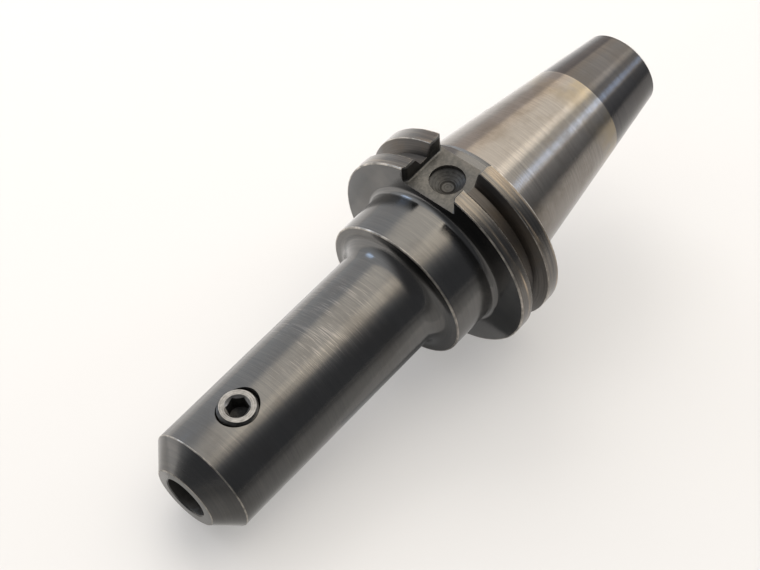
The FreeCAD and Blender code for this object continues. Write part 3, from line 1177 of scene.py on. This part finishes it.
@dataclass
class ClampScrew:
    """The threaded set screw with its hexagon socket."""

    place: float
    top: float
    length: float = 9.525 * MM
    radius: float = 5.55625 * MM
    root_radius: float = 4.777 * MM
    pitch: float = 1.27 * MM
    head_chamfer: float = 0.58 * MM
    tip_chamfer: float = 1.0 * MM
    socket_flats: float = 5.56 * MM
    socket_depth: float = 5.0 * MM
    socket_bevel: float = 0.77 * MM
    socket_turn: float = math.radians(12.0)
    thread_over: float = 0.2 * MM
    mouth_over: float = 0.5 * MM

    @property
    def thread_start(self) -> float:
        """Where the thread's first crest starts, two turns before the tip."""
        return self.top - self.length - 2 * self.pitch

    def blank(self) -> BMesh:
        """The plain shank with its chamfered ends."""
        tip = self.top - self.length
        shank = straight(
            ScrewRegion.THREAD,
            (tip, self.radius - self.tip_chamfer),
            (tip + self.tip_chamfer, self.radius),
            (self.top - self.head_chamfer, self.radius),
            (self.top, self.radius - self.head_chamfer),
        )
        face = straight(ScrewRegion.FACE, (self.top, 0.0))
        return turned((tip, 0.0), [shank, face], Axis.SCREW, 0.0, SCREW_SEGMENTS)

    def threaded_rod(self) -> BMesh:
        """A rod with the whole thread, a little longer than the shank."""
        start = self.thread_start
        crest = self.pitch / 16
        flank = (self.radius - self.root_radius) * FLANK_SLOPE
        tooth = (
            (start, self.radius),
            (start + crest, self.radius),
            (start + crest + flank, self.root_radius),
            (start + self.pitch - crest - flank, self.root_radius),
            (start + self.pitch - crest, self.radius),
            (start + self.pitch, self.radius),
        )
        turns = math.ceil(self.length / self.pitch) + 4
        mesh = helix(tooth, Axis.SCREW, self.pitch, turns, closed=False)
        trimmed(mesh, Axis.SCREW, self.top - self.length - self.thread_over, self.top + self.thread_over)
        return mesh

    def hexagon(self, floor: float) -> BMesh:
        """The cutter of the hexagon, from the socket's floor up."""
        reach = self.socket_flats / 2 / math.cos(math.radians(30.0))
        mesh = bmesh.new()
        bmesh.ops.create_circle(mesh, cap_ends=True, segments=6, radius=reach)
        grown = bmesh.ops.extrude_face_region(mesh, geom=mesh.faces[:])["geom"]
        ends = [item for item in grown if isinstance(item, BMVert)]
        bmesh.ops.translate(mesh, verts=ends, vec=(0.0, 0.0, self.socket_depth + OVERCUT))
        turn = Matrix.Rotation(self.socket_turn + math.pi / 6, 3, "Z")
        bmesh.ops.rotate(mesh, verts=mesh.verts, matrix=turn)
        bmesh.ops.translate(mesh, verts=mesh.verts, vec=(0.0, 0.0, floor))
        bmesh.ops.recalc_face_normals(mesh, faces=mesh.faces)
        for side in mesh.faces:
            level = abs(side.normal.z) > 0.5
            side.material_index = (ScrewRegion.SOCKET_FLOOR if level else ScrewRegion.SOCKET).value
        return mesh

    def socket_mouth(self, floor: float) -> BMesh:
        """The cutter of the drilled point below the hexagon's floor and of its countersunk mouth."""
        inner = self.socket_flats / 2
        over = self.mouth_over
        stretches = [
            straight(ScrewRegion.SOCKET_FLOOR, (floor, inner)),
            straight(ScrewRegion.SOCKET, (self.top - self.socket_bevel, inner)),
            straight(
                ScrewRegion.FACE,
                (self.top + over, inner + self.socket_bevel + over),
                (self.top + over, 0.0),
            ),
        ]
        return turned((floor - inner / POINT_SLOPE, 0.0), stretches, Axis.SCREW, 0.0, SCREW_SEGMENTS)

    def build(self, effects: Effects, tilt: float) -> Object:
        """Builds the screw in the place of its CAD node.

        Args:
            effects: The shared node groups.
            tilt: The holder's tilt about Y.

        Returns:
            The finished piece.
        """
        materials = [SCREW_FINISHES[region].material(effects) for region in ScrewRegion]
        obj = piece("clamp_screw_threaded", self.blank(), materials)
        combine(obj, [piece("thread_rod", self.threaded_rod())], "INTERSECT")
        floor = self.top - self.socket_depth
        hexagon = piece("hexagon_cutter", self.hexagon(floor))
        mouth = piece("socket_mouth_cutter", self.socket_mouth(floor))
        combine(obj, [hexagon, mouth], "DIFFERENCE")
        obj.data.transform(Matrix.Translation((self.place, 0.0, 0.0)))
        finish_piece(obj, tilt, "screw")
        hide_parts("clamp_screw")
        return obj


@dataclass(frozen=True)
class SoftLight:
    """A square studio light that faces the object.

    Attributes:
        name: The light's name.
        place: Where it stands.
        size: Its width and height in metres.
        radiance: Its brightness.
        colour: Its colour.
        mirrored: Whether the steel shows it.
    """

    name: str
    place: Vector
    size: Point
    radiance: float
    colour: Colour
    mirrored: bool = True

    def build(self) -> None:
        """Adds the light, with its power worked out from its brightness and size."""
        data = bpy.data.lights.new(self.name, "AREA")
        data.shape = "RECTANGLE"
        data.size, data.size_y = self.size
        data.energy = self.radiance * math.pi * self.size[0] * self.size[1]
        data.color = self.colour
        light = bpy.data.objects.new(self.name, data)
        light.location = self.place
        light.rotation_mode = "QUATERNION"
        light.rotation_quaternion = (-self.place).to_track_quat("-Z", "Y")
        light.visible_glossy = self.mirrored
        bpy.context.scene.collection.objects.link(light)


def direction(azimuth: float, height: float) -> Vector:
    """The unit vector to an azimuth from +X towards +Y and a height above the horizon, in degrees."""
    level = math.cos(math.radians(height))
    turn = math.radians(azimuth)
    return Vector((level * math.cos(turn), level * math.sin(turn), math.sin(math.radians(height))))


@dataclass(frozen=True)
class SkyPatch:
    """A soft-edged round patch of the light dome.

    Attributes:
        azimuth: The middle's azimuth in degrees.
        height: The middle's height above the horizon in degrees.
        full: How far from the middle the full light reaches, in degrees.
        end: Where the light ends, in degrees from the middle.
        light: The light that it adds. A negative one takes light away.
    """

    azimuth: float
    height: float
    full: float
    end: float
    light: Colour


@dataclass(frozen=True)
class LightDome:
    """The room's soft light: dim towards the camera, bright behind the object and overhead."""

    dim: Colour = (0.17, 0.175, 0.185)
    patches: tuple[SkyPatch, ...] = (
        SkyPatch(-175.7, 50.7, 38.0, 42.5, (1.0, 0.86, 0.65)),
        SkyPatch(-129.2, 23.3, 58.0, 103.0, (0.97, 0.985, 1.0)),
        SkyPatch(-134.0, 20.0, 8.0, 26.0, (-0.1, -0.22, -0.3)),
        SkyPatch(127.0, 71.0, 6.0, 16.0, (0.7, 0.6, 0.45)),
        SkyPatch(152.0, 41.0, 7.0, 17.0, (-0.85, -0.75, -0.62)),
        SkyPatch(164.0, 49.0, 4.0, 11.0, (-0.3, -0.26, -0.2)),
    )
    backdrop: Colour = (0.95, 0.94, 0.92)

    def build(self) -> None:
        """Makes the world. The camera sees a plain pale backdrop in place of the dome."""
        world = bpy.data.worlds.new("light_dome")
        world.use_nodes = True
        graph = Graph(world.node_tree)
        coordinates = graph.coordinates("Generated")
        total = self.dim
        for patch in self.patches:
            facing = graph.vector("DOT_PRODUCT", coordinates, direction(patch.azimuth, patch.height))
            step = (math.cos(math.radians(patch.end)), math.cos(math.radians(patch.full)))
            total = graph.vector("MULTIPLY_ADD", patch.light, graph.ramp(facing, step), total)
        dome = world.node_tree.nodes["Background"]
        graph.feed(dome, {"Color": total})
        backdrop = graph.node("ShaderNodeBackground", {"Color": rgba(self.backdrop)})
        seen = graph.node("ShaderNodeLightPath").outputs["Is Camera Ray"]
        choice = graph.node("ShaderNodeMixShader", {0: seen, 1: dome.outputs[0], 2: backdrop.outputs[0]})
        graph.feed(world.node_tree.nodes["World Output"], {"Surface": choice.outputs[0]})
        bpy.context.scene.world = world


@dataclass(frozen=True)
class PaintedReflectionCard:
    """A glowing card on the floor that only the steel's mirroring shows, as a studio uses to shade metal: a
    painted reflection of darker or brighter floor.

    Attributes:
        name: The card's name.
        azimuth: Where it lies from the object, in degrees from +X towards +Y.
        reach: Where it starts and ends on that line.
        half_width: How far it spreads to each side of that line.
        near: The glow of its painted reflection where it starts.
        far: That glow from fade_end on.
        fade_end: Where the change from near to far ends.
        lift: How far it lies above the floor.
    """

    name: str
    azimuth: float
    reach: Point
    half_width: float
    near: Colour
    far: Colour
    fade_end: float
    lift: float = 0.3 * MM

    def build(self, floor_level: float) -> None:
        """Lays the card on the floor. It glows, and paints a reflection that only the steel shows.

        Args:
            floor_level: The height of the floor.
        """
        start, end = self.reach
        mesh = bmesh.new()
        bmesh.ops.create_grid(mesh, x_segments=1, y_segments=1, size=0.5)
        bmesh.ops.scale(mesh, verts=mesh.verts, vec=(end - start, 2.0 * self.half_width, 1.0))
        middle = Vector(((start + end) / 2, 0.0, floor_level + self.lift))
        bmesh.ops.translate(mesh, verts=mesh.verts, vec=middle)
        turn = Matrix.Rotation(math.radians(self.azimuth), 3, "Z")
        bmesh.ops.rotate(mesh, verts=mesh.verts, cent=(0.0, 0.0, 0.0), matrix=turn)
        material, graph, shader = new_material(self.name)
        along = graph.vector("DOT_PRODUCT", graph.coordinates("Object"), direction(self.azimuth, 0.0))
        fading = graph.ramp(along, (start, self.fade_end))
        graph.feed(shader, {
            "Emission Color": graph.mix(fading, rgba(self.near), rgba(self.far)),
            "Emission Strength": 1.0,
            "Base Color": (0.0, 0.0, 0.0, 1.0),
            "Specular IOR Level": 0.0,
        })
        card = piece(self.name, mesh, [material])
        # Only the steel's mirroring sees the card, so it paints reflections and nothing else.
        card.visible_camera = False
        card.visible_diffuse = False
        card.visible_shadow = False


WARM_LAMP = SoftLight("warm_lamp", 2.0 * direction(168.0, 52.0), (0.4, 0.5), 1.5, (1.0, 0.93, 0.8))
COOL_WINDOW = SoftLight("cool_window", 2.0 * direction(146.0, 34.0), (0.35, 0.35), 3.0, (0.5, 0.68, 1.0))
SIDE_WINDOW = SoftLight("side_window", 2.0 * direction(-76.0, 28.0), (0.55, 0.55), 3.1, (0.46, 0.66, 1.0))
TABLE_LIGHT = SoftLight(
    "table_light", Vector((-0.35, -0.6, 0.55)), (0.6, 0.6), 6.5, (1.0, 0.98, 0.96), mirrored=False
)
OVERHEAD_CLOTH = SoftLight(
    "overhead_cloth", Vector((0.0, 0.0, 1.5)), (3.0, 3.0), 1.0, (1.0, 0.98, 0.95), mirrored=False
)


@dataclass
class Studio:
    """The pale floor, the soft lights, the cards of painted reflection and the camera."""

    floor_width: float = 40.0
    floor_colour: Colour = (0.298, 0.291, 0.284)
    # Painted light: the paper glows evenly, which lightens the shadows on it and the shade under the holder.
    floor_glow: float = 1.2
    floor_roughness: float = 0.9
    floor_gloss: float = 0.1
    # Painted reflections, seen only in the steel: the first card paints the shaded floor on the camera's
    # side, the second the shade under the collar and the nose, the third a brighter lit floor behind the
    # holder's left side.
    cards: tuple[PaintedReflectionCard, ...] = (
        PaintedReflectionCard("shaded_floor_reflection_card", 50.0, (0.065, 1.5), 1.5, (0.6, 0.585, 0.56), (0.28, 0.275, 0.27), 0.2),
        PaintedReflectionCard("under_shade_reflection_card", 0.0, (0.02, 0.064), 0.024, (0.12, 0.12, 0.12), (0.5, 0.495, 0.485), 0.064),
        PaintedReflectionCard("lit_floor_reflection_card", -100.0, (0.042, 1.5), 1.5, (0.8, 0.785, 0.765), (1.38, 1.34, 1.3), 0.056),
    )
    lights: tuple[SoftLight, ...] = (WARM_LAMP, COOL_WINDOW, SIDE_WINDOW, TABLE_LIGHT, OVERHEAD_CLOTH)
    camera_place: Triple = (0.2877255, 0.200675, 0.3520709)
    camera_turn: Triple = (42.22292, -1.83407, 131.17956)
    lens: float = 83.177
    sensor: float = 36.0
    clip_start: float = 0.01

    def build(self, floor_level: float) -> None:
        """Sets the studio up round the object.

        Args:
            floor_level: The height of the floor that the object rests on.
        """
        mesh = bmesh.new()
        bmesh.ops.create_grid(mesh, x_segments=1, y_segments=1, size=self.floor_width / 2)
        bmesh.ops.translate(mesh, verts=mesh.verts, vec=(0.0, 0.0, floor_level))
        piece("floor", mesh, [self.paper()])
        for card in self.cards:
            card.build(floor_level)
        for light in self.lights:
            light.build()
        LightDome().build()
        bpy.context.scene.view_settings.view_transform = "Standard"
        self.add_camera()

    def paper(self) -> Material:
        """Makes the plain pale paper that the floor is covered with. It glows as painted light, which
        lightens its shadows.
        """
        material, graph, shader = new_material("pale_glowing_paper")
        graph.feed(shader, {
            "Base Color": rgba(self.floor_colour),
            "Emission Color": rgba(self.floor_colour),
            "Emission Strength": self.floor_glow,
            "Roughness": self.floor_roughness,
            "Specular IOR Level": self.floor_gloss,
        })
        return material

    def add_camera(self) -> None:
        """Adds the camera at the photograph's place."""
        data = bpy.data.cameras.new("camera")
        data.sensor_width = self.sensor
        data.lens = self.lens
        data.clip_start = self.clip_start
        camera = bpy.data.objects.new("camera", data)
        camera.location = self.camera_place
        camera.rotation_euler = Euler([math.radians(angle) for angle in self.camera_turn], "XYZ")
        bpy.context.scene.collection.objects.link(camera)
        bpy.context.scene.camera = camera


def rest_tilt(record: dict) -> float:
    """The holder's tilt about Y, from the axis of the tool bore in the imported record."""
    axis = next(mount["axis"] for mount in record["mounts"] if mount["name"] == "tool_bore")
    return math.atan2(-axis[2], axis[0])


def main() -> None:
    """Builds the holder, its threads, its screw and the studio."""
    logging.basicConfig(level=logging.INFO, format="%(message)s")
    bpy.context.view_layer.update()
    tilt = rest_tilt(frame["record"])
    floor_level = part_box("holder_body")[0].z
    effects = Effects(tilt)

    holder = HolderBody()
    body = holder.build(effects, tilt)
    bore_steel = body.data.materials[Region.BORE.value]

    screw = ClampScrew(place=holder.screw_place, top=holder.nose_radius + holder.screw_proud)
    screw.build(effects, tilt)

    ThreadRidge(
        name="screw_hole_thread",
        axis=Axis.SCREW,
        pitch=screw.pitch,
        wall_radius=holder.screw_hole_radius,
        crest_radius=4.93 * MM,
        crest_width=0.26 * MM,
        low=6.6 * MM,
        high=14.6 * MM,
        start=screw.thread_start + screw.pitch / 2,
        centre=holder.screw_place,
    ).build(bore_steel, tilt)
    ThreadRidge(
        name="pull_stud_thread",
        axis=Axis.HOLDER,
        pitch=2.309 * MM,
        wall_radius=holder.stud_radius,
        crest_radius=6.8 * MM,
        crest_width=0.5 * MM,
        low=-63.45 * MM,
        high=-39.5 * MM,
        start=-65.0 * MM,
    ).build(bore_steel, tilt)

    Studio().build(floor_level)


if __name__ == "__main__":
    main()
